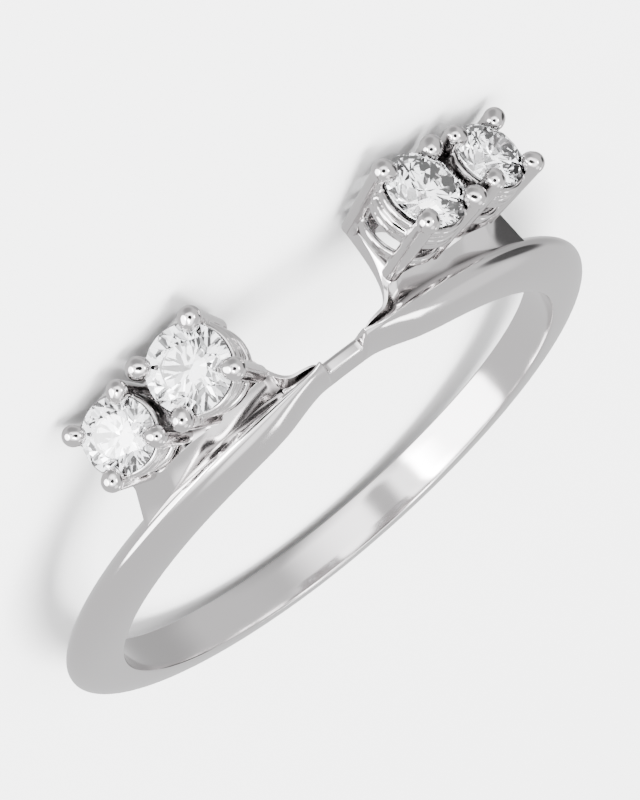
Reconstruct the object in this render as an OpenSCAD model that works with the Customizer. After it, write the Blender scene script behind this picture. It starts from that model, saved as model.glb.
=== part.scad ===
// Ring guard enhancer: a slim half-round band whose two shoulders carry, on brackets
// that reach back from the band, a large and a small brilliant each. The gap between
// the inner heads and the space under the brackets are for the ring it is worn with.
// The ring is drawn upright, with its finger axis along Y and its heads at +Z, and is
// then laid down on its rear side, as it lies by itself.

/* [Band] */
// Inner diameter of the finger hole
finger_d = 17.3; // [15:0.1:21]
// Width of the band along the finger
band_w = 1.4; // [1.1:0.05:2.2]
// Thickness of the band from the finger hole to its crest
band_t = 1.65; // [1.3:0.05:2.2]

/* [Bridge] */
// Width of the thin bar between the shoulders
bridge_w = 0.55; // [0.45:0.01:0.8]
// Thickness of that bar
bridge_t = 0.85; // [0.7:0.01:1.1]
// Length of the bar between the tips of the shoulders
bridge_len = 1.75; // [1.3:0.05:2.4]

/* [Brackets] */
// Room between the finger and the underside of each bracket, for the other ring's shank
shank_room = 1.45; // [1.2:0.05:1.8]
// Thickness of the bracket where it is thinnest, under the inner heads
bracket_t = 0.32; // [0.28:0.01:0.6]
// How much higher the outer heads stand on the bracket
outer_step = 0.4; // [0.2:0.05:0.7]
// Width of the cove that rises from the band to the platform
cove_w = 0.7; // [0.5:0.05:1]
// Diameter of the hole drilled through the bracket under each stone
azure_d = 1.1; // [0.8:0.05:1.3]

/* [Stones] */
// Diameter of the two inner stones
large_d = 2.75; // [2.4:0.05:3.2]
// Diameter of the two outer stones
small_d = 2.4; // [2:0.05:2.8]
// Room between the two stones of one side
stone_room = 0.39; // [0.3:0.01:0.8]
// Gap between a stone and the metal that holds it
stone_fit = 0.03; // [0.02:0.01:0.06]

/* [Heads] */
// Height of the bead centres of the inner heads above the bracket
large_h = 2.7; // [2.3:0.05:3.2]
// Height of the bead centres of the outer heads above the bracket
small_h = 2.5; // [2.2:0.05:3]
// Distance of the stone centres behind the middle of the band
head_back = 1.95; // [1.8:0.05:2.4]
// Distance of the feet of the inner heads from the middle of the ring
solitaire_half = 2.65; // [2.4:0.05:3.1]
// Outward lean of the inner heads
large_lean = 28.7; // [22:0.1:34]
// Further lean of the outer heads
fan = 4.9; // [2:0.1:8]
// Radius of the beads on the prongs of the inner heads
large_bead = 0.38; // [0.3:0.01:0.44]
// Radius of the beads on the prongs of the outer heads
small_bead = 0.35; // [0.28:0.01:0.42]
// Radius of a prong under its bead
prong_r = 0.34; // [0.24:0.01:0.36]
// Radius of a prong at its foot
foot_r = 0.24; // [0.18:0.01:0.28]
// Thickness of the gallery rings
rail_t = 0.32; // [0.24:0.01:0.4]

/* [Hidden] */
$fn = 64;

finger_r = finger_d / 2;
crest_r = finger_r + band_t;
under_r = finger_r + shank_room;
half_w = band_w / 2;
// How far inside the finger hole the swept band starts before the hole is cut
bore_skin = 0.3;
// How far beyond the band's sides the cutter of the hole reaches
bore_over = 3;

white_gold = [0.80, 0.80, 0.81];
diamond = [0.90, 0.94, 0.97];

// Angles are counted from the top of the ring, the same on both shoulders
function on_arc(angle, y, r) = [r * sin(angle), y, r * cos(angle)];
function arc_angle(length, r) = length / r * 180 / PI;
// Value at x in a table whose rows start with x, along straight lines
function row_of(x, table, i = 0) =
    i >= len(table) - 2 || x < table[i + 1][0] ? i : row_of(x, table, i + 1);
function from_table(x, table, column) =
    let (i = row_of(x, table), a = table[i], b = table[i + 1],
         share = max(0, min(1, (x - a[0]) / (b[0] - a[0]))))
    a[column] + (b[column] - a[column]) * share;

// Rings of points, all with the same count, joined to one closed skin. With closed
// true the last ring meets the first, otherwise both ends get a cap.
module skin(rings, closed = false) {
    n = len(rings);
    m = len(rings[0]);
    last = closed ? n - 1 : n - 2;
    sides = [for (i = [0 : last], j = [0 : m - 1])
        [i * m + j, i * m + (j + 1) % m, ((i + 1) % n) * m + (j + 1) % m, ((i + 1) % n) * m + j]];
    caps = closed ? [] : [[for (j = [m - 1 : -1 : 0]) j], [for (j = [0 : m - 1]) (n - 1) * m + j]];
    polyhedron([for (ring = rings) each ring], concat(sides, caps), convexity = 6);
}

// The band
tip_angle = arc_angle(bridge_len / 2, crest_r);
tip_fillet = 1.1;
bridge_back = 0.02;
// Columns: angle past the tip in degrees, front edge, rear edge and crest place as shares of
// half the width, thickness as a share of band_t, and the roundness power of each flank
band_table = [
    [0.0, -0.36, 0.46, 0.24, 0.975, 1.05],
    [1.6, -0.37, 0.50, 0.10, 0.990, 1.10],
    [3.6, -0.43, 0.56, 0.02, 1.000, 1.10],
    [6.3, -0.55, 0.68, 0.00, 1.000, 1.10],
    [9.0, -0.69, 0.86, 0.00, 1.000, 1.10],
    [12.5, -0.84, 0.97, 0.00, 1.000, 1.10],
    [19.0, -0.96, 1.00, 0.00, 1.000, 1.08],
    [30.0, -1.00, 1.00, 0.00, 1.000, 1.06],
    [60.0, -1.00, 1.00, 0.00, 1.000, 1.02],
    [95.0, -1.00, 1.00, 0.00, 1.010, 1.00],
    [175.0, -1.06, 1.06, 0.00, 1.015, 1.00]];
bridge_power = 0.42;
flank_steps = 8;
tip_stations = [0, 0.5, 1.6, 2.6, 3.6, 5, 6.3, 7.6, 9, 10.7, 12.5, 15.5, 19];
shank_steps = 38;

// A section from the front of the finger hole over the crest to its rear
function section(front, rear, crest, height, power) = concat(
    [[front, finger_r - bore_skin]],
    [for (i = [1 : flank_steps]) let (a = 90 * i / flank_steps)
        [crest + (front - crest) * pow(cos(a), power), finger_r + height * pow(sin(a), power)]],
    [for (i = [flank_steps - 1 : -1 : 1]) let (a = 90 * i / flank_steps)
        [crest + (rear - crest) * pow(cos(a), power), finger_r + height * pow(sin(a), power)]],
    [[rear, finger_r - bore_skin]]);
function bridge_section() = section(bridge_back - bridge_w / 2, bridge_back + bridge_w / 2,
    bridge_back, bridge_t, bridge_power);
function band_section(past) = section(
    half_w * from_table(past, band_table, 1), half_w * from_table(past, band_table, 2),
    half_w * from_table(past, band_table, 3), band_t * from_table(past, band_table, 4),
    from_table(past, band_table, 5));
function placed(points, angle) = [for (p = points) on_arc(angle, p[0], p[1])];

bridge_angle = tip_angle - tip_fillet;
half_stations = concat(
    [for (i = [0 : 3]) [bridge_angle * i / 3, bridge_section()]],
    [for (past = tip_stations) [tip_angle + past, band_section(past)]],
    [for (i = [1 : shank_steps]) let (past = tip_stations[len(tip_stations) - 1]
        + (180 - tip_angle - tip_stations[len(tip_stations) - 1]) * i / shank_steps)
        [tip_angle + past, band_section(past)]]);
half_count = len(half_stations);

module band() {
    skin([
        for (s = half_stations) placed(s[1], s[0]),
        for (i = [half_count - 2 : -1 : 1]) placed(half_stations[i][1], -half_stations[i][0])],
        closed = true);
}

// The heads. Each has its own frame: u runs outwards along the row, v to the rear and
// w up through the stone, with the bead centres at w = 0.
bead_out = 0.16;
prong_angle = 47;
girdle_down = 0.27;
// How far the feet of the prongs stand nearer to the axis than their beads
foot_in_u = 0.2;
foot_in_v = 0.1;
function bead_u(d) = (d / 2 + bead_out) * sin(prong_angle);
function bead_v(d) = (d / 2 + bead_out) * cos(prong_angle);
function outwards(lean) = [cos(lean), -sin(lean)];
function upwards(lean) = [sin(lean), cos(lean)];

small_lean = large_lean + fan;
// Distance of each head's foot plane from the finger's axis
large_plane = under_r + bracket_t;
small_plane = large_plane + outer_step;
// Place of each head along its foot plane, from where that plane comes nearest the axis
large_along = (solitaire_half - large_plane * sin(large_lean)) / cos(large_lean)
    + bead_u(large_d) - foot_in_u;
large_centre = upwards(large_lean) * (large_plane + large_h) + outwards(large_lean) * large_along;
pitch = (large_d + small_d) / 2 + stone_room;
small_rise = small_plane + small_h - large_centre * upwards(small_lean);
small_along = large_centre * outwards(small_lean) + sqrt(pitch * pitch - small_rise * small_rise);
small_centre = upwards(small_lean) * (small_plane + small_h) + outwards(small_lean) * small_along;

module at_head(centre, lean) {
    translate([centre[0], head_back, centre[1]]) rotate([0, lean, 0]) children();
}

// A straight tapered rod from one point to another
module rod(from, to, r_from, r_to) {
    way = to - from;
    translate(from) rotate([0, acos(way[2] / norm(way)), atan2(way[1], way[0])])
        cylinder(h = norm(way), r1 = r_from, r2 = r_to);
}

// Gallery rings. Columns: place below the beads as a share of the head's height, middle
// radius as a share of the stone's, height as a multiple of the ring's thickness
rail_table = [[0.23, 0.96, 1.0], [0.43, 0.97, 1.7], [0.78, 0.88, 1.3]];
rail_bevel = 0.3;
foot_sink = 0.2;

// Section of a gallery ring, with bevelled corners and a groove round the outside
function rail_section(r, tall) = let (t = rail_t / 2, b = rail_bevel * rail_t, h = tall * rail_t / 2)
    [[r - t, -h + b], [r - t + b, -h], [r + t - b, -h], [r + t, -h + b], [r + t - b / 2, 0],
     [r + t, h - b], [r + t - b, h], [r - t + b, h], [r - t, h - b]];

module head(d, h, bead_r, centre, lean) {
    at_head(centre, lean) {
        for (su = [-1, 1], sv = [-1, 1]) {
            bead = [su * bead_u(d), sv * bead_v(d), 0];
            foot = [su * (bead_u(d) - foot_in_u), sv * (bead_v(d) - foot_in_v), -h - foot_sink];
            translate(bead) sphere(bead_r);
            rod(foot, bead, foot_r, prong_r);
        }
        for (rail = rail_table)
            translate([0, 0, -rail[0] * h])
                rotate_extrude() polygon(rail_section(d / 2 * rail[1], rail[2]));
    }
}

// Proportions of a round brilliant, as shares of its diameter
table_share = 0.285;
crown_share = 0.15;
girdle_share = 0.03;
pavilion_share = 0.43;

// The room that a stone needs in its head, with the fit all round
module stone_room_cut(d) {
    r = d / 2 + stone_fit;
    top = crown_share * d + stone_fit;
    rotate_extrude() polygon([
        [0, -girdle_share * d / 2 - pavilion_share * d - 2 * stone_fit],
        [r, -girdle_share * d / 2 - stone_fit], [r, girdle_share * d / 2 + stone_fit],
        [table_share * d + stone_fit, girdle_share * d / 2 + top],
        [0, girdle_share * d / 2 + top]]);
}

// The brackets
cove_front = 0.1;
cove_drop = 0.2;
cove_steps = 5;
// Sag of the cove's hollow below a straight slope
cove_sag = 0.04;
// The foot of the cove: share of its width that it stands back from the ridge, how far it dips
// there, how far it rises at the outer end, and the share of the way out where that starts
foot_share = 0.35;
foot_dip = 0.1;
foot_lift = 0.15;
foot_fade = 0.45;
// How much wider the cove grows at the outer end, and the share of the way out where that starts
end_widen = 0.86;
widen_from = 0.75;
bracket_rear = head_back + bead_v(large_d) - foot_in_v + foot_r;
end_margin = 0.46;
end_slant = 6.6;
// How far outside the middle of the inner feet the full bracket starts
inner_inset = 0.05;
// How far past the tip of the shoulder the bracket starts, in degrees
bracket_start = 0.3;
// Share of the reach behind the band that stays flat behind the cove
flat_share = 0.3;
// Thinnest part of the bracket, where it rises from the tip
thinnest = 0.12;
// Where the underside runs into the band: shares of half the width and of the reach for its
// two corners, then shares of the band's thickness at them
root_wide = [0.85, 0.8];
root_deep = [0.45, 0.5];
root_thick = [0.6, 0.5];
rear_angle = small_lean + atan((small_along + bead_u(small_d) - foot_in_u + end_margin) / small_plane);
inner_angle = large_lean + atan((large_along - bead_u(large_d) + foot_in_u + inner_inset) / large_plane);
// Radius of the bracket's top: flat under each head, square to its axis
function top_r(angle) = let (
    a = large_plane / cos(angle - large_lean), b = small_plane / cos(angle - small_lean),
    from = large_lean + atan((large_along + bead_u(large_d) - foot_in_u) / large_plane),
    to = small_lean + atan((small_along - bead_u(small_d) + foot_in_u) / small_plane),
    share = max(0, min(1, (angle - from) / (to - from))))
    a + (b - a) * share;
// Columns: place along the bracket, from 0 at the tip of the shoulder to 1 at the feet of
// the inner head, how far it reaches back and how high it rises, both as shares
swoop_table = [
    [0.00, 0.055, 0.00], [0.10, 0.085, 0.06], [0.30, 0.110, 0.12], [0.50, 0.130, 0.17],
    [0.62, 0.170, 0.24], [0.74, 0.260, 0.36], [0.84, 0.400, 0.56], [0.92, 0.600, 0.80],
    [0.97, 0.820, 0.95], [1.00, 1.000, 1.00]];
bracket_steps = 12;

function cove_width(out) = cove_w * (1 + end_widen * max(0, out - widen_from) / (1 - widen_from));
function slant(y) = end_slant * max(0, min(1, (y - cove_front) / cove_width(1)));
function bracket_section(angle, reach, rise, out) = let (
    base = crest_r - cove_drop,
    top = base + (top_r(angle) - base) * rise,
    cove_end = min(cove_front + cove_width(out), reach - flat_share * (reach - cove_front)),
    under = min(under_r, top - thinnest),
    fade = max(0, min(1, (out - foot_fade) / (1 - foot_fade))),
    foot_y = cove_front + (cove_end - cove_front) * foot_share * (1 - fade),
    foot = base - foot_dip * (1 - fade) + foot_lift * fade * rise)
    concat(
        [[cove_front / 2, foot - foot_dip]],
        [for (i = [0 : cove_steps]) let (a = i / cove_steps)
            [foot_y + (cove_end - foot_y) * a, foot + (top - foot) * a - 4 * cove_sag * rise * a * (1 - a)]],
        [[reach, top], [reach, under], [min(half_w * root_wide[0], reach * root_wide[1]), under],
         [min(half_w * root_deep[0], reach * root_deep[1]), finger_r + band_t * root_thick[0]],
         [0, finger_r + band_t * root_thick[1]]]);
function bracket_ring(points, angle, share) =
    [for (p = points) on_arc(angle + (end_slant - slant(p[0])) * share, p[0], p[1])];

module bracket() {
    start = tip_angle + bracket_start;
    skin(concat(
        [for (row = swoop_table) let (angle = start + (inner_angle - start) * row[0])
            bracket_ring(bracket_section(angle, row[1] * bracket_rear, row[2], 0), angle, 0)],
        [for (i = [1 : bracket_steps]) let (share = i / bracket_steps,
            angle = inner_angle + (rear_angle - inner_angle) * share)
            bracket_ring(bracket_section(angle, bracket_rear, 1, share), angle, share)]));
}

module shoulder() {
    bracket();
    head(large_d, large_h, large_bead, large_centre, large_lean);
    head(small_d, small_h, small_bead, small_centre, small_lean);
}

// The hole drilled under a stone, through the bracket
azure_over = 1.5;
module azure(h) {
    translate([0, 0, -h - azure_over]) cylinder(h = 2 * azure_over, d = azure_d);
}

module shoulder_cuts() {
    at_head(large_centre, large_lean) translate([0, 0, -girdle_down]) stone_room_cut(large_d);
    at_head(small_centre, small_lean) translate([0, 0, -girdle_down]) stone_room_cut(small_d);
    at_head(large_centre, large_lean) azure(large_h);
    at_head(small_centre, small_lean) azure(small_h);
}

module upright_metal() {
    difference() {
        union() {
            band();
            shoulder();
            mirror([1, 0, 0]) shoulder();
        }
        rotate([90, 0, 0]) cylinder(h = band_w + 2 * bore_over, r = finger_r, center = true, $fn = 180);
        shoulder_cuts();
        mirror([1, 0, 0]) shoulder_cuts();
    }
}

// A round brilliant with its girdle at z = 0, cut from eight mains
mains = 8;
star_share = 0.40;
half_facet_share = 0.22;
function turn(r, step, z) = [r * cos(180 / mains * step), r * sin(180 / mains * step), z];

module brilliant(d) {
    r = d / 2;
    g = girdle_share * d / 2;
    table_r = table_share * d;
    crown = crown_share * d;
    deep = pavilion_share * d;
    star_r = star_share * d;
    star_z = g + crown - (star_r * cos(180 / mains) - table_r) * crown / (r - table_r);
    low_r = half_facet_share * d / 2;
    low_z = -g - deep + low_r * cos(180 / mains) * deep / r;
    n = 2 * mains;
    points = concat(
        [for (i = [0 : 2 : n - 1]) turn(table_r, i, g + crown)],
        [for (i = [1 : 2 : n - 1]) turn(star_r, i, star_z)],
        [for (i = [0 : n - 1]) turn(r, i, g)],
        [for (i = [0 : n - 1]) turn(r, i, -g)],
        [for (i = [1 : 2 : n - 1]) turn(low_r, i, low_z)],
        [[0, 0, -g - deep]]);
    t = 0;
    s = mains;
    up = 2 * mains;
    dn = up + n;
    lo = dn + n;
    culet = lo + mains;
    polyhedron(points, concat(
        [[for (i = [mains - 1 : -1 : 0]) t + i]],
        [for (i = [0 : mains - 1]) let (j = (i + 1) % mains) [t + i, t + j, s + i]],
        [for (i = [0 : mains - 1]) let (h = (i + mains - 1) % mains) [t + i, s + i, up + 2 * i, s + h]],
        [for (i = [0 : mains - 1]) [s + i, up + 2 * i + 1, up + 2 * i]],
        [for (i = [0 : mains - 1]) [s + i, up + (2 * i + 2) % n, up + 2 * i + 1]],
        [for (i = [0 : n - 1]) let (j = (i + 1) % n) [up + i, up + j, dn + j, dn + i]],
        [for (i = [0 : mains - 1]) [lo + i, dn + 2 * i, dn + 2 * i + 1]],
        [for (i = [0 : mains - 1]) [lo + i, dn + 2 * i + 1, dn + (2 * i + 2) % n]],
        [for (i = [0 : mains - 1]) let (h = (i + mains - 1) % mains) [culet, lo + h, dn + 2 * i, lo + i]]),
        convexity = 4);
}

// The ring lies on its rear side. It touches the surface with the rear beads of its
// inner heads and with the rear edge of the band opposite them.
rest_tilt = atan((head_back + bead_v(large_d) + large_bead - half_w)
    / (large_centre[1] - bead_u(large_d) * sin(large_lean) + finger_r));
module as_it_lies() {
    rotate([rest_tilt - 90, 0, 180]) children();
}

module metal() {
    color(white_gold) as_it_lies() upright_metal();
}
module set_stone(d, centre, lean) {
    color(diamond) as_it_lies() at_head(centre, lean)
        translate([0, 0, -girdle_down]) brilliant(d);
}
module stone_right_large() { set_stone(large_d, large_centre, large_lean); }
module stone_right_small() { set_stone(small_d, small_centre, small_lean); }
module stone_left_large() {
    set_stone(large_d, [-large_centre[0], large_centre[1]], -large_lean);
}
module stone_left_small() {
    set_stone(small_d, [-small_centre[0], small_centre[1]], -small_lean);
}

metal();
stone_left_large();
stone_left_small();
stone_right_large();
stone_right_small();
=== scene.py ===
# %% [markdown]
# # Ring guard enhancer
# A ring guard is a slim ring that is worn against an engagement ring. This one has a
# half-round band. Two shoulders carry a large and a small brilliant each, on brackets
# that reach back over the other ring's shank. It lies on its rear side here.
#
# The CAD model of this ring holds the solids and their places. This script makes a finer
# model from the same sizes and rules, with fillets, claws and real facets, and stands it
# in the same place. The CAD model's box is measured, and the floor is laid at its bottom.

import math

import bmesh
import bpy
import numpy as np
from mathutils import Matrix, Vector


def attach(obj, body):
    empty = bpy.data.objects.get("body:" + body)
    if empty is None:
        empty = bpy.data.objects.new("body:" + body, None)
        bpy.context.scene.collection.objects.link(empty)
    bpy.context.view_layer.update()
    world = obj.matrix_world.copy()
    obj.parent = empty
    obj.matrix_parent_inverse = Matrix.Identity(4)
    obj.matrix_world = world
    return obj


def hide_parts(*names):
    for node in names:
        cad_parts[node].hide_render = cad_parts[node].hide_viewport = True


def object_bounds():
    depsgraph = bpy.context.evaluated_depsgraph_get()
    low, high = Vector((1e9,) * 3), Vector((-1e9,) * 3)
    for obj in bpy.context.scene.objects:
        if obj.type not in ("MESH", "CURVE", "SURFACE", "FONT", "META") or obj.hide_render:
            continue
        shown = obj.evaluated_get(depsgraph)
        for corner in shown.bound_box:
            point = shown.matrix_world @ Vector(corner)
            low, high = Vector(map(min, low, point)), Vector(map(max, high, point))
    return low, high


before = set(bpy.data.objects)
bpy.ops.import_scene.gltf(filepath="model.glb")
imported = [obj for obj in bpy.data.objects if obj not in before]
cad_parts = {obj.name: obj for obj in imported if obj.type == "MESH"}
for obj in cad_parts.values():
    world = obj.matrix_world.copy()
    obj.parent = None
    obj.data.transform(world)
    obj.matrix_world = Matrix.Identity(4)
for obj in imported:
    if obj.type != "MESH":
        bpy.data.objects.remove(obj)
cad_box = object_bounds()
print("CAD nodes:", sorted(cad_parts))
# A millimetre in metres. Blender and the CAD model count in metres
mm = 0.001
print("CAD box mm", [[round(x / mm, 3) for x in corner] for corner in cad_box])

# %% [markdown]
# ## Working in millimetres, upright
# A ring is easiest to think of standing up: x along the row of stones, y along the
# finger and z up to the heads, with the middle of the finger hole at zero. Each mesh is
# made like that, in millimetres, because a goldsmith's sizes are easy to read there. Two
# matrices then lay it down on its rear side and turn it into metres, as the CAD model is.

# %% Sizes of the ring
# The CAD model's own sizes, in millimetres and degrees. In a name, r is a radius, d a
# diameter, w a width, t a thickness and h a height
finger_r = 8.65
band_w, band_t = 1.4, 1.65
bridge_w, bridge_t, bridge_len, bridge_back = 0.55, 0.85, 1.75, 0.02
large_d, small_d = 2.75, 2.4
large_h, small_h = 2.7, 2.5
# The heads' place behind the band's middle, and half the gap for the other ring's stone
head_back, solitaire_half = 1.95, 2.65
large_lean, fan = 28.7, 4.9
# How far the beads stand past a stone's edge, and their angle from the finger's direction
bead_out, prong_angle = 0.16, 47
foot_in_u, foot_in_v, foot_sink = 0.2, 0.1, 0.2
large_bead, small_bead = 0.38, 0.35
prong_r, foot_r, rail_t = 0.34, 0.24, 0.32
stone_room, stone_fit, girdle_down = 0.39, 0.03, 0.27
shank_room, bracket_t, outer_step = 1.45, 0.32, 0.4
azure_d = 1.1
half_w = band_w / 2
crest_r = finger_r + band_t
print("finger hole", 2 * finger_r, "mm wide, band", band_w, "by", band_t, "mm")


# %% Angles in degrees
def sind(a):
    return math.sin(math.radians(a))


def cosd(a):
    return math.cos(math.radians(a))


# %% [markdown]
# ## Where the heads stand
# Each head stands square on its bracket, so that all four prongs have the same length.
# The outer one leans further out and sits so that the two stones of a side keep their
# room. The places could be typed in, but worked out like this they follow every size, by
# the same rules as in the CAD model.


# %% Places of the beads
def bead_u(d):
    """How far the beads stand from their stone's middle along the row."""
    return (d / 2 + bead_out) * sind(prong_angle)


def bead_v(d):
    """How far the beads stand from their stone's middle along the finger."""
    return (d / 2 + bead_out) * cosd(prong_angle)


print("beads", round(bead_u(large_d), 3), "by", round(bead_v(large_d), 3), "mm from the middle")

# %% Places of the heads
small_lean = large_lean + fan
under_r = finger_r + shank_room
large_plane = under_r + bracket_t
small_plane = large_plane + outer_step


def upwards(lean):
    """The way that a leaning head points, as x and z."""
    return np.array([sind(lean), cosd(lean)])


def outwards(lean):
    """The way along a leaning head's shelf, away from the ring's middle, as x and z."""
    return np.array([cosd(lean), -sind(lean)])


large_along = (solitaire_half - large_plane * sind(large_lean)) / cosd(large_lean)
large_along += bead_u(large_d) - foot_in_u
large_centre = upwards(large_lean) * (large_plane + large_h) + outwards(large_lean) * large_along
pitch = (large_d + small_d) / 2 + stone_room
small_rise = small_plane + small_h - large_centre @ upwards(small_lean)
small_along = large_centre @ outwards(small_lean) + math.sqrt(pitch**2 - small_rise**2)
small_centre = upwards(small_lean) * (small_plane + small_h) + outwards(small_lean) * small_along
print("heads at", large_centre.round(3), small_centre.round(3))

# %% [markdown]
# ## Meshes
# Every metal piece starts as points and faces or as a node tree, and all but the band get
# modifiers. The result is kept as a plain mesh, so that the next step can move or cut it.


# %% Helpers for meshes
def make_object(name, verts, faces):
    """A smooth-shaded mesh object from points and faces, upright and in millimetres."""
    mesh = bpy.data.meshes.new(name)
    mesh.from_pydata([tuple(v) for v in verts], [], faces)
    mesh.validate()
    mesh.polygons.foreach_set("use_smooth", [True] * len(mesh.polygons))
    piece = bpy.data.objects.new(name, mesh)
    bpy.context.scene.collection.objects.link(piece)
    return piece


def face_outwards(piece):
    """Merges doubles and turns every face of a closed mesh outwards."""
    bm = bmesh.new()
    bm.from_mesh(piece.data)
    bmesh.ops.remove_doubles(bm, verts=bm.verts, dist=1e-5)
    bmesh.ops.recalc_face_normals(bm, faces=bm.faces)
    bm.to_mesh(piece.data)
    bm.free()


def apply_modifiers(piece):
    """Turns what the modifiers show into the piece's own plain mesh."""
    shown = piece.evaluated_get(bpy.context.evaluated_depsgraph_get())
    mesh = bpy.data.meshes.new_from_object(shown)
    piece.modifiers.clear()
    old, piece.data = piece.data, mesh
    mesh.name = piece.name
    if old.users == 0:
        bpy.data.meshes.remove(old)


# %% [markdown]
# ## Adding nodes
# Materials and Geometry Nodes are both trees of nodes. One small function adds a node,
# sets it up and links its inputs, so each tree below reads as a list of its steps. Colours
# are written as they look on a screen, and a second function turns them into light.


# %% Helpers for nodes and colours
def add_node(tree, kind, inputs=None, **settings):
    """Adds a node. An input's value may be a plain value, a socket or a list of sockets."""
    node = tree.nodes.new(kind)
    for key, value in settings.items():
        setattr(node, key, value)
    for key, value in (inputs or {}).items():
        socket = node.inputs[key]
        for source in value if isinstance(value, list) else [value]:
            if isinstance(source, bpy.types.NodeSocket):
                tree.links.new(source, socket)
            else:
                socket.default_value = source
    return node


def colour(hex_value):
    """An sRGB hex colour as the linear values that a shader needs."""
    parts = [int(hex_value[i : i + 2], 16) / 255 for i in (1, 3, 5)]
    linear = [p / 12.92 if p <= 0.04045 else ((p + 0.055) / 1.055) ** 2.4 for p in parts]
    return (*linear, 1.0)


# %% [markdown]
# ## The white gold
# White gold rings are cast, filed, polished on a buffing wheel and plated with rhodium.
# Rhodium is a bright, nearly neutral metal. The buffing wheel leaves a mirror with the
# faintest haze and very shallow waves, so the roughness is low and varies a little, and a
# soft noise bends the reflections by a hair. Shade is painted into the base colour where
# the metal's own walls stand close together, such as in the gaps between the gallery rings.
#
# Perfectly smooth metal would be simpler, but it looks like a drawing. Noise in the
# object's own space has a real size, needs no unwrapping and shows no seams.


# %% Rhodium-plated white gold, polished, with painted shade in narrow recesses
def make_white_gold():
    material = bpy.data.materials.new("rhodium_plated_white_gold")
    material.use_nodes = True
    tree = material.node_tree
    shader = tree.nodes["Principled BSDF"]
    shader.inputs["Metallic"].default_value = 1.0
    place = add_node(tree, "ShaderNodeTexCoord").outputs["Object"]
    # Painted shade: ambient occlusion darkens the base colour in recesses narrower than about 0.6 mm
    reach = add_node(tree, "ShaderNodeAmbientOcclusion", {"Distance": 0.6 * mm}, samples=12)
    unshaded_share = add_node(
        tree,
        "ShaderNodeMapRange",
        {"Value": reach.outputs["AO"], "From Min": 0.2, "From Max": 0.75},
    )
    painted_crevice_shade = add_node(
        # The base colour runs from a dark painted shade in recesses to the metal's own colour where
        # it is open
        tree,
        "ShaderNodeMix",
        {"Factor": unshaded_share.outputs["Result"], "A": colour("#5e5c5b"), "B": colour("#d2cfcf")},
        data_type="RGBA",
    )
    tree.links.new(painted_crevice_shade.outputs["Result"], shader.inputs["Base Color"])
    # Buffing haze changes over about 0.8 mm
    haze_scale = 1 / (0.8 * mm)
    haze = add_node(tree, "ShaderNodeTexNoise", {"Vector": place, "Scale": haze_scale, "Detail": 3.0})
    rough = add_node(
        tree,
        "ShaderNodeMapRange",
        {"Value": haze.outputs["Fac"], "To Min": 0.07, "To Max": 0.15},
    )
    tree.links.new(rough.outputs["Result"], shader.inputs["Roughness"])
    # Waves that the wheel leaves, about 1.6 mm long and a micrometre or two deep
    wave_scale = 1 / (1.6 * mm)
    wave = add_node(tree, "ShaderNodeTexNoise", {"Vector": place, "Scale": wave_scale, "Detail": 1.0})
    bump = add_node(
        tree,
        "ShaderNodeBump",
        {"Height": wave.outputs["Fac"], "Strength": 0.10, "Distance": 0.02 * mm},
    )
    tree.links.new(bump.outputs["Normal"], shader.inputs["Normal"])
    return material


white_gold = make_white_gold()
print(white_gold.name + ":", len(white_gold.node_tree.nodes), "nodes")

# %% [markdown]
# ## The band
# The band is one closed loop of sections. Near the top it is a thin bar, the bridge.
# At the tips of the shoulders the bar grows over a steep little face into the band's
# rounded triangle, which widens down the flank and hardly changes from there on.
#
# A bevelled curve could make a plain band, but it keeps one form of section throughout.
# Here a short table gives the section's shares of the band's sizes at a few angles, and a
# smooth curve through its rows fills in between, as a file does on the real ring.


# %% Smooth curves through tables
def eased(x, table, column):
    """A column's value at x, on a smooth curve through the rows that never overshoots."""
    xs = np.array([row[0] for row in table], float)
    ys = np.array([row[column] for row in table], float)
    gap = np.diff(xs)
    climb = np.diff(ys) / gap
    slope = np.concatenate([[climb[0]], np.zeros(len(xs) - 2), [climb[-1]]])
    for i in range(1, len(xs) - 1):
        if climb[i - 1] * climb[i] > 0:
            a, b = 2 * gap[i] + gap[i - 1], gap[i] + 2 * gap[i - 1]
            slope[i] = (a + b) / (a / climb[i - 1] + b / climb[i])
    x = float(np.clip(x, xs[0], xs[-1]))
    i = int(np.clip(np.searchsorted(xs, x) - 1, 0, len(xs) - 2))
    t = (x - xs[i]) / gap[i]
    near = ys[i] * (1 + 2 * t) + gap[i] * slope[i] * t
    far = ys[i + 1] * (3 - 2 * t) + gap[i] * slope[i + 1] * (t - 1)
    return near * (1 - t) ** 2 + far * t**2


# %% The band's table
# Columns: angle past the shoulder's tip; front edge, rear edge and crest as shares of
# half the width; thickness as a share of the band's; and how peaked the flanks are
band_table = [
    [0.0, -0.36, 0.46, 0.24, 0.975, 1.05],
    [1.6, -0.37, 0.50, 0.10, 0.990, 1.10],
    [3.6, -0.43, 0.56, 0.02, 1.000, 1.10],
    [6.3, -0.55, 0.68, 0.00, 1.000, 1.10],
    [9.0, -0.69, 0.86, 0.00, 1.000, 1.10],
    [12.5, -0.84, 0.97, 0.00, 1.000, 1.10],
    [19.0, -0.96, 1.00, 0.00, 1.000, 1.08],
    [30.0, -1.00, 1.00, 0.00, 1.000, 1.06],
    [60.0, -1.00, 1.00, 0.00, 1.000, 1.02],
    [95.0, -1.00, 1.00, 0.00, 1.010, 1.00],
    [175.0, -1.06, 1.06, 0.00, 1.015, 1.00],
]
print("thickest", round(max(row[4] for row in band_table) * band_t, 3), "mm")

# %% Sections of the band
edge_fillet = 0.06
flank_steps, fillet_steps, inner_steps = 18, 5, 4


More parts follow.
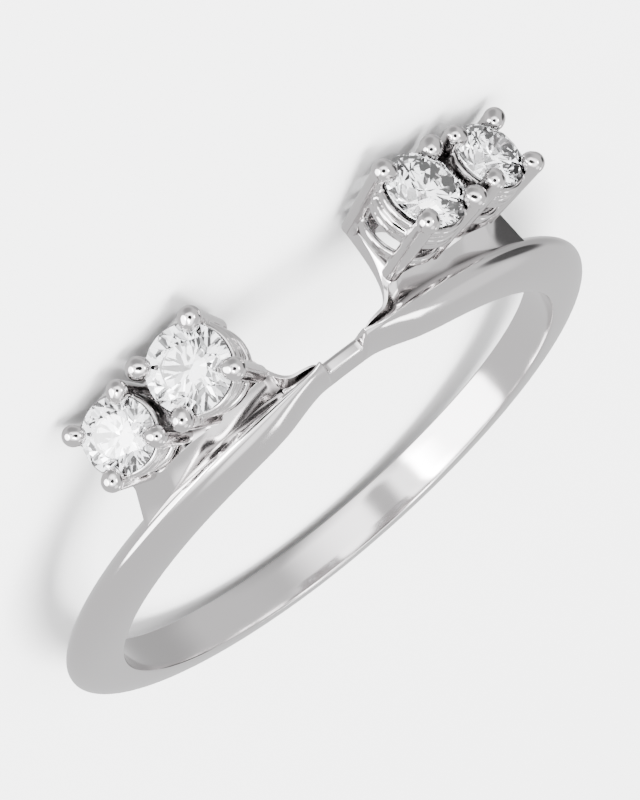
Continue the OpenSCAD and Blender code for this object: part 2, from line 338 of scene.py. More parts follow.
def closed_section(front, rear, front_flank, rear_flank):
    """Adds the filleted inner edges and the flat inside of the hole to two flanks."""
    turn = np.linspace(0, 90, fillet_steps)[:-1]
    f = edge_fillet
    front_edge = [(front + f - f * sind(a), finger_r + f - f * cosd(a)) for a in turn]
    rear_edge = [(rear - f + f * cosd(a), finger_r + f - f * sind(a)) for a in turn]
    inside = [(y, finger_r) for y in np.linspace(rear - f, front + f, inner_steps + 1)[:-1]]
    return np.vstack([front_edge, front_flank, rear_flank[1:], rear_edge[1:], inside])


def band_section(past):
    """The band's section at an angle past the shoulder's tip, as points of y and radius."""
    front, rear, crest, share, power = (eased(past, band_table, k) for k in range(1, 6))
    front, rear, crest = front * half_w, rear * half_w, crest * half_w
    base, top = finger_r + edge_fillet, finger_r + share * band_t

    def flank(edge):
        points = []
        for a in np.linspace(0, 90, flank_steps):
            y = crest + (edge - crest) * max(cosd(a), 0) ** power
            points.append((y, base + (top - base) * sind(a) ** power))
        return points

    return closed_section(front, rear, np.array(flank(front)), np.array(flank(rear)[::-1]))


print("shank section:", len(band_section(90)), "points")

# %% Section of the bridge
# The bar's front leans back a little to a crease. Its top is flat with a rounded rear edge
crease_y, bar_round = -0.12, 0.1


def resampled(points, count):
    """count points spread evenly along a chain of straight lines."""
    points = np.array(points, float)
    run = np.concatenate([[0], np.cumsum(np.linalg.norm(np.diff(points, axis=0), axis=1))])
    at = np.linspace(0, run[-1], count)
    return np.column_stack([np.interp(at, run, points[:, k]) for k in range(points.shape[1])])


def bridge_section():
    """The bridge's section, as points of y and radius."""
    front, rear = bridge_back - bridge_w / 2, bridge_back + bridge_w / 2
    base, top = finger_r + edge_fillet, finger_r + bridge_t
    rounding = [
        (rear + bar_round * (sind(a) - 1), top + bar_round * (cosd(a) - 1)) for a in range(0, 91, 15)
    ]
    front_flank = resampled([(front, base), (crease_y, top)], flank_steps)
    rear_flank = resampled([(crease_y, top), *rounding, (rear, base)], flank_steps)
    return closed_section(front, rear, front_flank, rear_flank)


print("bridge section:", len(bridge_section()), "points")

# %% The loop of sections
tip_angle = math.degrees(bridge_len / 2 / crest_r)
tip_face = 1.1
# The steep face at a shoulder's tip. Columns: share of its run, share of the band's section
tip_table = [[0, 0], [0.12, 0.02], [0.3, 0.12], [0.55, 0.5], [0.78, 0.86], [0.92, 0.97], [1, 1]]
# Sections stand closer together along the shoulder, from its tip to where the shank starts
bar_sections, tip_sections, shank_sections = 6, 13, 108
first_past, shoulder_step, shank_past = 0.25, 0.6, 19


def half_band():
    """Angles and sections, from the middle of the bridge to the bottom of the band."""
    bar, tip = bridge_section(), band_section(0)
    bar_angles = np.linspace(0, tip_angle - tip_face, bar_sections)[:-1]
    stations = [(a, bar) for a in bar_angles]
    for share in np.linspace(0, 1, tip_sections):
        mix = eased(share, tip_table, 1)
        stations.append((tip_angle - tip_face * (1 - share), bar + (tip - bar) * mix))
    shoulder = np.arange(first_past, shank_past, shoulder_step)
    shank = np.linspace(shank_past, 180 - tip_angle, shank_sections)
    return stations + [(tip_angle + past, band_section(past)) for past in [*shoulder, *shank]]


print("half the band:", len(half_band()), "sections")


# %% Skinning the sections
def on_arc(angle, y, r):
    """A point of the ring, at an angle counted from the top towards the right."""
    return (r * sind(angle), y, r * cosd(angle))


def sweep(rings, closed):
    """Faces that join rings of points, with caps at the ends unless the last meets the first."""
    count, around = len(rings), len(rings[0])

    def point(i, j):
        return i % count * around + j % around

    faces = []
    for i in range(count if closed else count - 1):
        for j in range(around):
            faces.append((point(i, j), point(i, j + 1), point(i + 1, j + 1), point(i + 1, j)))
    if not closed:
        faces.append(tuple(range(around - 1, -1, -1)))
        faces.append(tuple(range((count - 1) * around, count * around)))
    return np.vstack(rings), faces


def make_band():
    half = half_band()
    whole = half + [(-a, section) for a, section in half[-2:0:-1]]
    rings = [np.array([on_arc(a, y, r) for y, r in section]) for a, section in whole]
    band = make_object("band", *sweep(rings, closed=True))
    face_outwards(band)
    return band


band = make_band()
print("band:", len(band.data.polygons), "faces")

# %% [markdown]
# ## The brackets
# Each bracket starts as a thin lip behind the tip of the shoulder. It swoops back and up
# to a shelf under the heads, and ends in a slanted face. Between the band's ridge and the
# shelf a cove is filed, which meets the ridge in a crisp line.
#
# A block cut to shape would also do, but its cove would be hard to keep smooth. So the
# bracket is a sweep like the band, and a Bevel modifier breaks its edges as a file does.
# The azures are the holes under the stones that let light in and make them easy to clean.
# A Boolean modifier drills them.

# %% Sizes of the brackets
# The cove's front line, width, depth under the band's crest and hollow
cove_front, cove_w, cove_drop, cove_sag = 0.1, 0.7, 0.2, 0.04
# The groove at the cove's foot: its share of the width, its depth, how far it lifts
# outwards, and the share of the way out where it starts to fade
foot_share, foot_dip, foot_lift, foot_fade = 0.35, 0.1, 0.15, 0.45
# The outer end: its distance past the last feet, its slant in degrees, and how much wider
# the cove grows from a share of the way out
end_margin, end_slant, end_widen, widen_from = 0.46, 6.6, 0.86, 0.75
bracket_rear = head_back + bead_v(large_d) - foot_in_v + foot_r
# The lip starts this many degrees past the shoulder's tip, and the shelf is at its full
# reach this far past the first feet
bracket_start, inner_inset = 0.3, 0.05
# The shelf keeps this share of the reach, and its edge stays at least this thick
flat_share, thinnest = 0.3, 0.12


def foot_angle(plane, lean, along):
    """Angle from the top of a point on a shelf at some distance along it."""
    return lean + math.degrees(math.atan(along / plane))


large_foot = bead_u(large_d) - foot_in_u
small_foot = bead_u(small_d) - foot_in_u
inner_angle = foot_angle(large_plane, large_lean, large_along - large_foot + inner_inset)
step_from = foot_angle(large_plane, large_lean, large_along + large_foot)
step_to = foot_angle(small_plane, small_lean, small_along - small_foot)
rear_angle = foot_angle(small_plane, small_lean, small_along + small_foot + end_margin)
print("shelf from", round(inner_angle, 1), "to", round(rear_angle, 1), "degrees")

# %% The swoop and the shelf
# Columns: place from the tip to the inner feet, and shares of the reach back and the rise
swoop_table = [
    [0.00, 0.055, 0.00],
    [0.10, 0.085, 0.06],
    [0.30, 0.110, 0.12],
    [0.50, 0.130, 0.17],
    [0.62, 0.170, 0.24],
    [0.74, 0.260, 0.36],
    [0.84, 0.400, 0.56],
    [0.92, 0.600, 0.80],
    [0.97, 0.820, 0.95],
    [1.00, 1.000, 1.00],
]


def shelf_r(angle):
    """Radius of the shelf: flat and square to each head, with a ramp between them."""
    low, high = large_plane / cosd(angle - large_lean), small_plane / cosd(angle - small_lean)
    share = min(max((angle - step_from) / (step_to - step_from), 0), 1)
    return low + (high - low) * share * share * (3 - 2 * share)


print("shelf radius at its ends:", round(shelf_r(inner_angle), 2), round(shelf_r(rear_angle), 2))

# %% Sections of a bracket
cove_steps = 16
# The underside starts and the root ends inside the band. These are shares of half the
# band's width, with the largest share of the reach, and of the band's thickness
under_start, under_most = 0.85, 0.8
root_start, root_most, root_high, root_low = 0.45, 0.5, 0.6, 0.5


def cove_width(out):
    """The cove's width at a share of the way out from the inner feet to the end."""
    return cove_w * (1 + end_widen * max(0, out - widen_from) / (1 - widen_from))


def bracket_section(angle, reach, rise, out):
    """A bracket's section as points of y and radius, at one angle and share of the way out."""
    base = crest_r - cove_drop
    top = base + (shelf_r(angle) - base) * rise
    cove_end = min(cove_front + cove_width(out), reach - flat_share * (reach - cove_front))
    fade = min(max((out - foot_fade) / (1 - foot_fade), 0), 1)
    foot_y = cove_front + (cove_end - cove_front) * foot_share * (1 - fade)
    foot = base - foot_dip * (1 - fade) + foot_lift * fade * rise
    hidden = [(cove_front / 2, foot - foot_dip)]
    cove = []
    for t in np.linspace(0, 1, cove_steps):
        hollow = 4 * cove_sag * rise * t * (1 - t)
        cove.append((foot_y + (cove_end - foot_y) * t, foot + (top - foot) * t - hollow))
    shelf = [(cove_end + (reach - cove_end) * t, top) for t in (0.25, 0.5, 0.75, 1)]
    under = min(under_r, top - thinnest)
    under_y = min(half_w * under_start, reach * under_most)
    below = [(reach + (under_y - reach) * t, under) for t in (0, 0.33, 0.67, 1)]
    root_y = min(half_w * root_start, reach * root_most)
    root = [(root_y, finger_r + band_t * root_high), (0, finger_r + band_t * root_low)]
    return hidden + cove + shelf + below + root


def end_shift(y):
    """Degrees by which the slanted end reaches further out at a place along the finger."""
    share = min(max((y - cove_front) / cove_width(1), 0), 1)
    return end_slant * (1 - share)


print("cove", cove_w, "mm wide, and", round(cove_width(1), 2), "mm at the end")

# %% Drilling the azures
drill_length = 3


def head_matrix(centre, lean, side):
    """Takes a head's own frame, with its stone at the top, to its place on the ring."""
    turn = Matrix.Rotation(math.radians(lean * side), 4, "Y")
    return Matrix.Translation((centre[0] * side, head_back, centre[1])) @ turn


def make_drill(height, centre, lean):
    """A cylinder through the shelf under a head."""
    bpy.ops.mesh.primitive_cylinder_add(vertices=64, radius=azure_d / 2, depth=drill_length)
    drill = bpy.context.object
    drill.data.transform(Matrix.Translation((0, 0, -height)))
    drill.data.transform(head_matrix(centre, lean, 1))
    return drill


def drill_azures(bracket):
    for height, centre, lean in (
        (large_h, large_centre, large_lean),
        (small_h, small_centre, small_lean),
    ):
        drill = make_drill(height, centre, lean)
        cut = bracket.modifiers.new("drill", "BOOLEAN")
        cut.operation, cut.object, cut.solver = "DIFFERENCE", drill, "EXACT"
        apply_modifiers(bracket)
        bpy.data.objects.remove(drill)


# %% Sweeping a bracket
edge_break, swoop_sections, shelf_sections = 0.05, 46, 30
# Edges over the first angle are broken, and edges over the second one look crisp
break_over, crisp_over = math.radians(40), math.radians(30)


def bracket_rings():
    start = tip_angle + bracket_start
    rings = []
    for share in np.linspace(0, 1, swoop_sections):
        angle = start + (inner_angle - start) * share
        reach, rise = eased(share, swoop_table, 1) * bracket_rear, eased(share, swoop_table, 2)
        rings.append([on_arc(angle, y, r) for y, r in bracket_section(angle, reach, rise, 0)])
    for share in np.linspace(0, 1, shelf_sections)[1:]:
        angle = inner_angle + (rear_angle - inner_angle) * share
        section = bracket_section(angle, bracket_rear, 1, share)
        rings.append([on_arc(angle + end_shift(y) * share, y, r) for y, r in section])
    return rings


def make_bracket():
    bracket = make_object("bracket_right", *sweep(bracket_rings(), closed=False))
    face_outwards(bracket)
    drill_azures(bracket)
    bevel = bracket.modifiers.new("broken_edges", "BEVEL")
    bevel.width, bevel.segments, bevel.use_clamp_overlap = edge_break, 3, True
    bevel.limit_method, bevel.angle_limit = "ANGLE", break_over
    apply_modifiers(bracket)
    bracket.data.set_sharp_from_angle(angle=crisp_over)
    return bracket


bracket_right = make_bracket()
print("bracket:", len(bracket_right.data.polygons), "faces")


# %% The other shoulder is its mirror image
def mirrored(piece, name):
    twin = piece.copy()
    twin.data = piece.data.copy()
    twin.name = twin.data.name = name
    bpy.context.scene.collection.objects.link(twin)
    twin.data.transform(Matrix.Scale(-1, 4, (1, 0, 0)))
    twin.data.flip_normals()
    return twin


bracket_left = mirrored(bracket_right, "bracket_left")
print(bracket_left.name, "mirrored")

# %% [markdown]
# ## The heads
# A head is a basket: four tapered prongs with a bead each, joined by gallery rings. The
# setter pushes each bead over the stone's edge, so it is a ball drawn out into a short
# claw, here the hull of two balls. The middle gallery ring is a pair of thin rails.
#
# The same prong comes four times and the rings follow circles, so Geometry Nodes build
# the head. The tree's inputs are the head's sizes, so one tree makes both sizes of head. A
# Remesh modifier then melts prongs and rings into one casting with small fillets, as solder
# and polish leave them. Bevelling each joint instead would take far more work.

# %% What the head's tree is given
head_inputs = {
    "NodeSocketVector": ["Bead Place", "Claw Place", "Foot Place"],
    "NodeSocketFloat": [
        "Bead Radius", "Claw Radius", "Prong Radius", "Foot Radius",
        "Stone Radius", "Height", "Ring Thickness",
    ],
    "NodeSocketMaterial": ["Metal"],
}


def start_head_tree():
    """A new tree with its sockets. Returns the tree and the sockets of its inputs."""
    tree = bpy.data.node_groups.new("claw_head", "GeometryNodeTree")
    tree.interface.new_socket(name="Geometry", in_out="OUTPUT", socket_type="NodeSocketGeometry")
    for kind, names in head_inputs.items():
        for name in names:
            tree.interface.new_socket(name=name, in_out="INPUT", socket_type=kind)
    return tree, add_node(tree, "NodeGroupInput").outputs


print("inputs:", head_inputs)

# %% [markdown]
# ### A prong
# A prong is a post that gets thicker towards the stone. A cone would do too, but it would
# need turning. Curve to Mesh sweeps a circle along a line from foot to bead and scales it
# on the way. The bead is the convex hull of two balls.


# %% A prong in the quarter where u and v are positive
def add_leg(tree, sizes):
    line = add_node(
        tree,
        "GeometryNodeCurvePrimitiveLine",
        {"Start": sizes["Foot Place"], "End": sizes["Bead Place"]},
    )
    steps = add_node(
        tree, "GeometryNodeResampleCurve", {"Curve": line.outputs["Curve"], "Count": 24}
    )
    along = add_node(tree, "GeometryNodeSplineParameter").outputs["Factor"]
    taper = add_node(
        tree,
        "ShaderNodeMapRange",
        {"Value": along, "To Min": sizes["Foot Radius"], "To Max": sizes["Prong Radius"]},
    )
    circle = add_node(tree, "GeometryNodeCurvePrimitiveCircle", {"Resolution": 40, "Radius": 1.0})
    leg = add_node(
        tree,
        "GeometryNodeCurveToMesh",
        {
            "Curve": steps.outputs["Curve"],
            "Profile Curve": circle.outputs["Curve"],
            "Scale": taper.outputs["Result"],
            "Fill Caps": True,
        },
    )
    return leg.outputs["Mesh"]


def add_bead(tree, sizes):
    balls = []
    for place, size in (("Bead Place", "Bead Radius"), ("Claw Place", "Claw Radius")):
        ball = add_node(
            tree, "GeometryNodeMeshUVSphere", {"Segments": 48, "Rings": 32, "Radius": sizes[size]}
        )
        moved = add_node(
            tree,
            "GeometryNodeTransform",
            {"Geometry": ball.outputs["Mesh"], "Translation": sizes[place]},
        )
        balls.append(moved.outputs["Geometry"])
    both = add_node(tree, "GeometryNodeJoinGeometry", {"Geometry": balls})
    hull = add_node(tree, "GeometryNodeConvexHull", {"Geometry": both.outputs["Geometry"]})
    return hull.outputs["Convex Hull"]


# %% [markdown]
# ### Four quarters
# The head is the same in all four quarters, so the prong is placed four times with a scale
# of 1 or -1 in u, along the row, and in v, along the finger. The number of the copy gives
# both signs. A Math node's inputs all have the same name, so they are given by number.


# %% Copies in four quarters
def in_four_quarters(tree, geometry):
    index = add_node(tree, "GeometryNodeInputIndex").outputs["Index"]
    odd = add_node(tree, "ShaderNodeMath", {0: index, 1: 2.0}, operation="MODULO")
    upper = add_node(tree, "ShaderNodeMath", {0: index, 1: 1.5}, operation="GREATER_THAN")
    signs = []
    for half in (odd, upper):
        terms = {0: half.outputs[0], 1: -2.0, 2: 1.0}
        signs.append(add_node(tree, "ShaderNodeMath", terms, operation="MULTIPLY_ADD"))
    quarter = add_node(
        tree,
        "ShaderNodeCombineXYZ",
        {"X": signs[0].outputs[0], "Y": signs[1].outputs[0], "Z": 1.0},
    )
    spots = add_node(tree, "GeometryNodePoints", {"Count": 4})
    copies = add_node(
        tree,
        "GeometryNodeInstanceOnPoints",
        {
            "Points": spots.outputs["Points"],
            "Instance": geometry,
            "Scale": quarter.outputs["Vector"],
        },
    )
    return copies.outputs["Instances"]


# %% [markdown]
# ### A gallery ring
# A gallery ring holds the prongs together. A torus would make it look like round wire,
# but it has flat sides and soft edges, so a filleted rectangle is swept round a circle.

# %% Sizes of the gallery rings
# Columns: place below the beads as a share of the head's height, middle radius as a share
# of the stone's, height as a multiple of the ring's thickness
rail_table = [[0.22, 0.97, 1.1], [0.36, 0.98, 0.95], [0.46, 0.97, 0.95], [0.80, 0.89, 1.45]]
rail_rounding = 0.3
print("rings and rails on a head:", len(rail_table))


# %% A gallery ring, a rounded bar that follows a circle
def add_gallery_ring(tree, sizes, down, wide, tall):
    def times(size, factor):
        node = add_node(tree, "ShaderNodeMath", {0: sizes[size], 1: factor}, operation="MULTIPLY")
        return node.outputs[0]

    path = add_node(
        tree,
        "GeometryNodeCurvePrimitiveCircle",
        {"Resolution": 96, "Radius": times("Stone Radius", wide)},
    )
    bar = add_node(
        tree,
        "GeometryNodeCurvePrimitiveQuadrilateral",
        {"Width": sizes["Ring Thickness"], "Height": times("Ring Thickness", tall)},
    )
    rounding = times("Ring Thickness", rail_rounding)
    rounded = add_node(
        tree,
        "GeometryNodeFilletCurve",
        {"Curve": bar.outputs["Curve"], "Radius": rounding, "Count": 4},
        mode="POLY",
    )
    ring = add_node(
        tree,
        "GeometryNodeCurveToMesh",
        {"Curve": path.outputs["Curve"], "Profile Curve": rounded.outputs["Curve"]},
    )
    lower = add_node(tree, "ShaderNodeCombineXYZ", {"Z": times("Height", -down)})
    placed = add_node(
        tree,
        "GeometryNodeTransform",
        {"Geometry": ring.outputs["Mesh"], "Translation": lower.outputs["Vector"]},
    )
    return placed.outputs["Geometry"]


# %% The whole tree
def make_head_tree():
    tree, sizes = start_head_tree()
    pair = {"Geometry": [add_leg(tree, sizes), add_bead(tree, sizes)]}
    prong = add_node(tree, "GeometryNodeJoinGeometry", pair)
    parts = [in_four_quarters(tree, prong.outputs["Geometry"])]
    for down, wide, tall in rail_table:
        parts.append(add_gallery_ring(tree, sizes, down, wide, tall))
    basket = add_node(tree, "GeometryNodeJoinGeometry", {"Geometry": parts})
    whole = add_node(tree, "GeometryNodeRealizeInstances", {"Geometry": basket.outputs["Geometry"]})
    metal = add_node(
        tree,
        "GeometryNodeSetMaterial",
        {"Geometry": whole.outputs["Geometry"], "Material": sizes["Metal"]},
    )
    add_node(tree, "NodeGroupOutput", {"Geometry": metal.outputs["Geometry"]})
    return tree


head_tree = make_head_tree()
print("claw head tree:", len(head_tree.nodes), "nodes")

# %% [markdown]
# ## Cutting the seats
# A setter burrs a seat into the prongs for the stone's girdle. The burr here is the
# stone's own outline with a little room all round, turned about the head's axis. Cutting
# with the faceted stone itself would leave a seat with corners, which no burr makes.

# %% The burr
# Proportions of a round brilliant, as shares of its diameter
crown_share, girdle_share, pavilion_share, table_share = 0.15, 0.03, 0.43, 0.285
burr_sides = 96


def make_burr(d):
    """What the setter's burr takes away for a stone of diameter d, in the head's frame."""
    rim_z = girdle_share * d / 2
    point_z = -rim_z - pavilion_share * d - 2 * stone_fit
    top_z = rim_z + crown_share * d + stone_fit
    outline = [
        (d / 2 + stone_fit, -rim_z - stone_fit),
        (d / 2 + stone_fit, rim_z + stone_fit),
        (table_share * d + stone_fit, top_z),
    ]
    verts = []
    for i in range(burr_sides):
        a = 360 * i / burr_sides
        verts += [(r * cosd(a), r * sind(a), z) for r, z in outline]
    low, high = len(verts), len(verts) + 1
    verts += [(0, 0, point_z), (0, 0, top_z)]
    faces = []
    for i in range(burr_sides):
        here, ahead = 3 * i, 3 * ((i + 1) % burr_sides)
        faces += [(here, ahead, ahead + 1, here + 1), (here + 1, ahead + 1, ahead + 2, here + 2)]
        faces += [(low, ahead, here), (high, here + 2, ahead + 2)]
    burr = make_object("burr", verts, faces)
    face_outwards(burr)
    burr.data.transform(Matrix.Translation((0, 0, -girdle_down)))
    return burr


# %% What a head's tree is given for a stone of diameter d
# A claw's reach in past its bead, and its size as a share of the bead's
claw_in, claw_share = 0.11, 0.92
# The photo shows slightly thicker feet and thinner rings than the CAD model has
foot_extra, rail_less = 0.04, 0.05


def head_values(d, height, bead_r):
    drawn_in = 1 - claw_in / (d / 2 + bead_out)
    return {
        "Bead Place": (bead_u(d), bead_v(d), 0.0),
        "Claw Place": (bead_u(d) * drawn_in, bead_v(d) * drawn_in, 0.0),
        "Foot Place": (bead_u(d) - foot_in_u, bead_v(d) - foot_in_v, -height - foot_sink),
        "Bead Radius": bead_r,
        "Claw Radius": bead_r * claw_share,
        "Prong Radius": prong_r,
        "Foot Radius": foot_r + foot_extra,
        "Stone Radius": d / 2,
        "Height": height,
        "Ring Thickness": rail_t - rail_less,
        "Metal": white_gold,
    }


# %% Building the two sizes of head
# The Remesh modifier's cubes in millimetres, and how many times the surface is smoothed
voxel, polish_rounds = 0.045, 5
seat_crisp_over = math.radians(40)


def make_head(name, d, height, bead_r):
    """One head with its seat cut, upright, with its beads' middles at height zero."""
    head = make_object(name, [(0, 0, 0)], [])
    nodes = head.modifiers.new("claw_head", "NODES")
    nodes.node_group = head_tree
    values = head_values(d, height, bead_r)
    for item in head_tree.interface.items_tree:
        if item.in_out == "INPUT":
            nodes[item.identifier] = values[item.name]
    melt = head.modifiers.new("melt", "REMESH")
    melt.mode, melt.voxel_size, melt.use_smooth_shade = "VOXEL", voxel, True
    soften = head.modifiers.new("polish", "SMOOTH")
    soften.factor, soften.iterations = 0.5, polish_rounds
    apply_modifiers(head)
    burr = make_burr(d)
    cut = head.modifiers.new("seat", "BOOLEAN")
    cut.operation, cut.object, cut.solver = "DIFFERENCE", burr, "EXACT"
    apply_modifiers(head)
    bpy.data.objects.remove(burr)
    head.data.set_sharp_from_angle(angle=seat_crisp_over)
    print(name, len(head.data.polygons), "faces")
    return head


large_head = make_head("head_large", large_d, large_h, large_bead)
small_head = make_head("head_small", small_d, small_h, small_bead)

# %% [markdown]
# ## The brilliants
# A cutter grinds a brilliant flat by flat, so the code does the same. It starts from a
# round blank and cuts along 57 planes. Each set of facets has one slope, worked out so
# that the facets meet where they do on a well-cut stone: a 57% table, a crown of 34.5
# degrees and a pavilion of 40.8 degrees. The corners could be typed in as points, but
# their rounding would bend the facets, and flat facets are what makes a brilliant sparkle.

# %% Slopes of the facets
crown_slope, pavilion_slope = 34.5, 40.8
table_r, star_length, lower_length = 0.57, 0.5, 0.78
half_girdle = girdle_share
eighth, sixteenth = 360 / 8, 360 / 16


def tand(a):
    return math.tan(math.radians(a))


def slope_of(rise, run):
    return math.degrees(math.atan(rise / run))


def facet_planes():
    """Planes as (azimuth, slope, point radius, point height); the stone's radius is 1."""
    table_z = half_girdle + (1 - table_r) * tand(crown_slope)
    edge_r = table_r * cosd(sixteenth)
    star_r = edge_r + star_length * (1 - edge_r)
    star_z = half_girdle + tand(crown_slope) * (1 - star_r * cosd(sixteenth))
    star_slope = slope_of(table_z - star_z, star_r - edge_r)
    rim = cosd(sixteenth / 2)
    break_slope = slope_of(star_z - half_girdle, rim * (1 - star_r))
    low_r = 1 - lower_length
    low_drop = tand(pavilion_slope) * (1 - low_r * cosd(sixteenth))
    lower_slope = slope_of(low_drop, rim * (1 - low_r))
    planes = [(0, 0, 0, table_z)]
    for i in range(8):
        at = i * eighth
        planes.append((at, crown_slope, 1, half_girdle))
        planes.append((at, -pavilion_slope, 1, -half_girdle))
        planes.append((at + sixteenth, star_slope, edge_r, table_z))
        for side in (-1, 1):
            halfway = at + side * sixteenth / 2
            planes.append((halfway, break_slope, rim, half_girdle))
            planes.append((halfway, -lower_slope, rim, -half_girdle))
    return planes


print("planes:", len(facet_planes()))

# %% Cutting a stone
blank_sides = 96


def cut_brilliant(name, d):
    """A mesh with flat facets: a round blank cut along all planes, then scaled to size."""
    bm = bmesh.new()
    bmesh.ops.create_cone(bm, cap_ends=True, segments=blank_sides, radius1=1, radius2=1, depth=2)
    for azimuth, slope, r, z in facet_planes():
        tilt = abs(slope)
        up = -1 if slope < 0 else 1
        normal = Vector((sind(tilt) * cosd(azimuth), sind(tilt) * sind(azimuth), up * cosd(tilt)))
        point = Vector((r * cosd(azimuth), r * sind(azimuth), z))
        made = bmesh.ops.bisect_plane(
            bm,
            geom=[*bm.verts, *bm.edges, *bm.faces],
            dist=1e-7,
            plane_co=point,
            plane_no=normal,
            clear_outer=True,
        )
        rim = [e for e in made["geom_cut"] if isinstance(e, bmesh.types.BMEdge) and e.is_boundary]
        if rim:
            bmesh.ops.contextual_create(bm, geom=rim)
    bmesh.ops.remove_doubles(bm, verts=bm.verts, dist=1e-5)
    bmesh.ops.recalc_face_normals(bm, faces=bm.faces)
    open_edges = sum(1 for e in bm.edges if not e.is_manifold)
    mesh = bpy.data.meshes.new(name)
    bm.to_mesh(mesh)
    bm.free()
    mesh.transform(Matrix.Translation((0, 0, -girdle_down)) @ Matrix.Scale(d / 2, 4))
    print(name, len(mesh.polygons), "faces with its girdle's,", open_edges, "open edges")
    return mesh


large_stone = cut_brilliant("brilliant_large", large_d)
small_stone = cut_brilliant("brilliant_small", small_d)

# %% [markdown]
# ## Diamond
# Diamond bends light more than most clear stones, with an index of 2.417, and its facets
# are polished to a mirror. Transmission with no roughness is all it takes: the pattern in
# a stone comes from its facets and from what they see. Faking it with a picture would look
# wrong from every other side.


# %% Polished diamond
def make_diamond():
    material = bpy.data.materials.new("polished_diamond")
    material.use_nodes = True
    shader = material.node_tree.nodes["Principled BSDF"]
    shader.inputs["Base Color"].default_value = colour("#fcfdff")
    shader.inputs["Roughness"].default_value = 0.0
    shader.inputs["IOR"].default_value = 2.417
    shader.inputs["Transmission Weight"].default_value = 1.0
    return material


diamond = make_diamond()
print("made", diamond.name)

# %% [markdown]
# ## Setting the stones
# Each head gets its stone, and the pairs go to their places on the right and the left. A
# head and a stone are symmetric, so the left ones aren't mirrored: they only lean the
# other way. Every piece gets its own copy of the mesh, since each stands elsewhere.

# %% Placing heads and stones
heads, stones = [], []
for side, word in ((1, "right"), (-1, "left")):
    for size, head, stone, centre, lean in (
        ("large", large_head, large_stone, large_centre, large_lean),
        ("small", small_head, small_stone, small_centre, small_lean),
    ):
        for mesh, kind, group in ((head.data, "head", heads), (stone, "brilliant", stones)):
            piece = bpy.data.objects.new(f"{kind}_{word}_{size}", mesh.copy())
            bpy.context.scene.collection.objects.link(piece)
            piece.data.transform(head_matrix(centre, lean, side))
            group.append(piece)
for template in (large_head, small_head):
    bpy.data.objects.remove(template)
print(len(heads), "heads and", len(stones), "stones")

# %% [markdown]
# ## Laying the ring down
# On a table the ring touches with the rear beads of its inner heads and with the edge of
# the band opposite them. A line through the two gives the tilt. A physics run could find
# it too, but a formula gives the same answer each time.

# %% The tilt at rest
rest_tilt = math.atan(
    (head_back + bead_v(large_d) + large_bead - half_w)
    / (large_centre[1] - bead_u(large_d) * sind(large_lean) + finger_r)
)
sin_tilt, cos_tilt = math.sin(rest_tilt), math.cos(rest_tilt)
lay_down = Matrix(((-1, 0, 0), (0, -sin_tilt, -cos_tilt), (0, -cos_tilt, sin_tilt))).to_4x4()
to_metres = Matrix.Scale(mm, 4)
print("tilt", round(math.degrees(rest_tilt), 3), "degrees")

# %% [markdown]
# ## From the drawing to the floor
# The meshes are moved, not the objects, so that every piece keeps its origin at the ring's
# own origin. The materials go on here too.

# %% From upright millimetres to metres on the floor
metal_pieces = [band, bracket_right, bracket_left, *heads]
for piece in metal_pieces + stones:
    piece.data.transform(to_metres @ lay_down)
    piece.data.materials.clear()
    piece.data.materials.append(diamond if piece in stones else white_gold)
    piece.data.update()
print(len(metal_pieces), "pieces of metal laid down")

# %% [markdown]
# ## Riding on the frame
# All metal is soldered, so its pieces stand together for the one metal node. Each stone
# stands for its own node.

# %% Bodies and nodes
for piece in metal_pieces:
    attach(piece, "root")
    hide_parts("metal")
for piece in stones:
    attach(piece, "root")
    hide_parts(piece.name.replace("brilliant", "stone"))
print("riding on the frame:", len(metal_pieces) + len(stones), "pieces")

# %% [markdown]
# ## The floor
# The ring lies on plain white paper. In a real photo the metal would also mirror the
# paper, and all its undersides would turn white. Here the paper is hidden from mirror
# rays, which no real floor is. The metal shows the lower half of the tent in its place,
# as if the ring hung in the middle of the tent.

# %% Floor
floor_z, floor_size = cad_box[0].z, 1.2
bpy.ops.mesh.primitive_plane_add(size=floor_size, location=(0, 0, 0))
floor = bpy.context.object
floor.name = "floor"
floor.data.transform(Matrix.Translation((0, 0, floor_z)))
paper = bpy.data.materials.new("matte_white_paper")
paper.use_nodes = True
paper_shader = paper.node_tree.nodes["Principled BSDF"]
paper_shader.inputs["Base Color"].default_value = colour("#f1f1f1")
paper_shader.inputs["Roughness"].default_value = 0.9
floor.data.materials.append(paper)
floor.visible_glossy = False
print("floor at", round(floor_z / mm, 3), "mm")

# %% [markdown]
# ## The tent
# A polished metal shows what stands round it, so jewellery is lit inside a white tent. The
# sky is that tent: an even white, multiplied by round patches with a soft edge. The largest
# is the lit front, round the camera. The darkest is the opening for the lens: it gives the
# beads their dark spots and the brilliants their arrows. The others are cards that give
# the metal its dark and light lines. Left and right are the camera's, before its roll.
#
# Cards could be real planes round the ring, but a patch in the sky casts no shadow, has no
# back and is set by two angles.

# %% Patches of the tent
# Columns: azimuth and elevation of a patch's middle, angles from the middle where its edge
# starts and ends, and how many times as bright its middle is
sky_patches = {
    "lit front": (286, 24, 20, 55, 5),
    "lens": (286, 22, 16, 23, 0.004),
    "black card, far left": (168, 13, 13, 22, 0.12),
    "lighter wall above it": (138, 40, 8, 18, 1.35),
    "light from the top": (60, 84, 8, 20, 2.6),
    "reflector, low on the near right": (338, -14, 23, 28, 10),
    "black card, under the lens": (294, -6, 3, 9, 0.2),
    "shade, low on the near left": (250, -45, 10, 45, 0.5),
    "shade, low on the far left": (160, -20, 5, 35, 0.6),
}
print("patches:", "; ".join(sky_patches))

# %% Helpers for the sky
world = bpy.data.worlds.new("studio")
bpy.context.scene.world = world
world.use_nodes = True
sky = world.node_tree
way = add_node(sky, "ShaderNodeTexCoord").outputs["Generated"]


